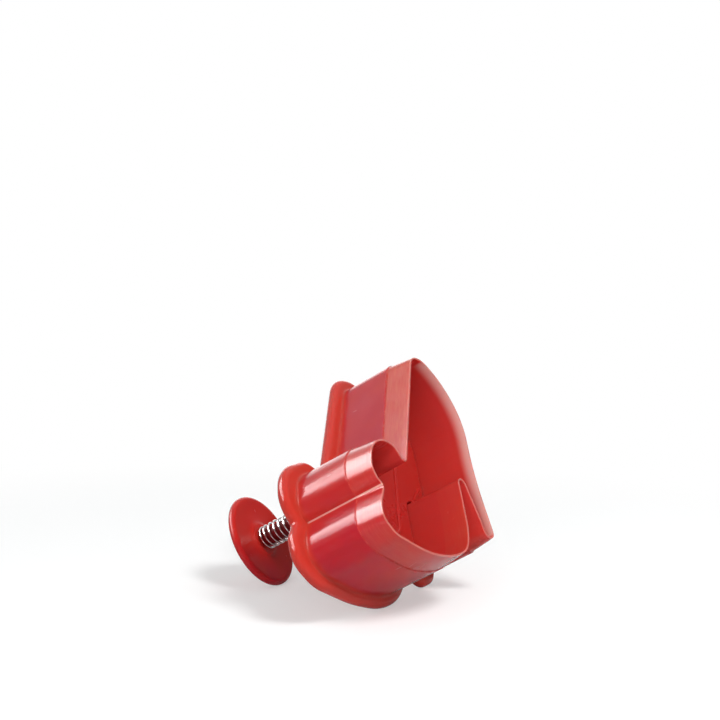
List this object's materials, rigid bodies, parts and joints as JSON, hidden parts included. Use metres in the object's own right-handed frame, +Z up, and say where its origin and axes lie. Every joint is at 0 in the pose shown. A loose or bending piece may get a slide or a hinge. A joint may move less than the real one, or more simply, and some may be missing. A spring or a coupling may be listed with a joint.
{
  "type": "plunger cutter",
  "caption": "Spring-loaded plunger cutter for sugar paste and dough, shaped like a bow-trimmed high-heel shoe, with an embossing plate, a return spring and a round push knob.",
  "frame": {"origin": "on the table under the middle of the bounding box, with the cutter lying as pictured: on the flange under sole and heel, and on the knob's rim", "axes": "+X from the shoe's toe towards its heel, +Z up from the table; the plunger's axis leans in the Y-Z plane, from the knob at +Y up towards the cutting edge at -Y"},
  "size_m": [0.068, 0.057, 0.0515],
  "materials": {
    "shell_plastic": "glossy",
    "plate_plastic": "glossy",
    "plunger_plastic": "glossy",
    "spring_steel": "bright"
  },
  "bodies": {
    "cutter_body": {"cutter_shell": "shell_plastic", "return_spring": "spring_steel"},
    "plunger": {"embossing_plate": "plate_plastic", "plunger_stem": "plunger_plastic", "knob": "plunger_plastic"}
  },
  "joints": [
    {"name": "plunger_slide", "type": "slide", "parent": "cutter_body", "child": "plunger", "axis": [0, -0.8617, 0.5074], "range_m": [0, 0.012], "stiffness_N_per_m": 354, "springref_m": -0.003, "deforming": ["return_spring"]}
  ]
}
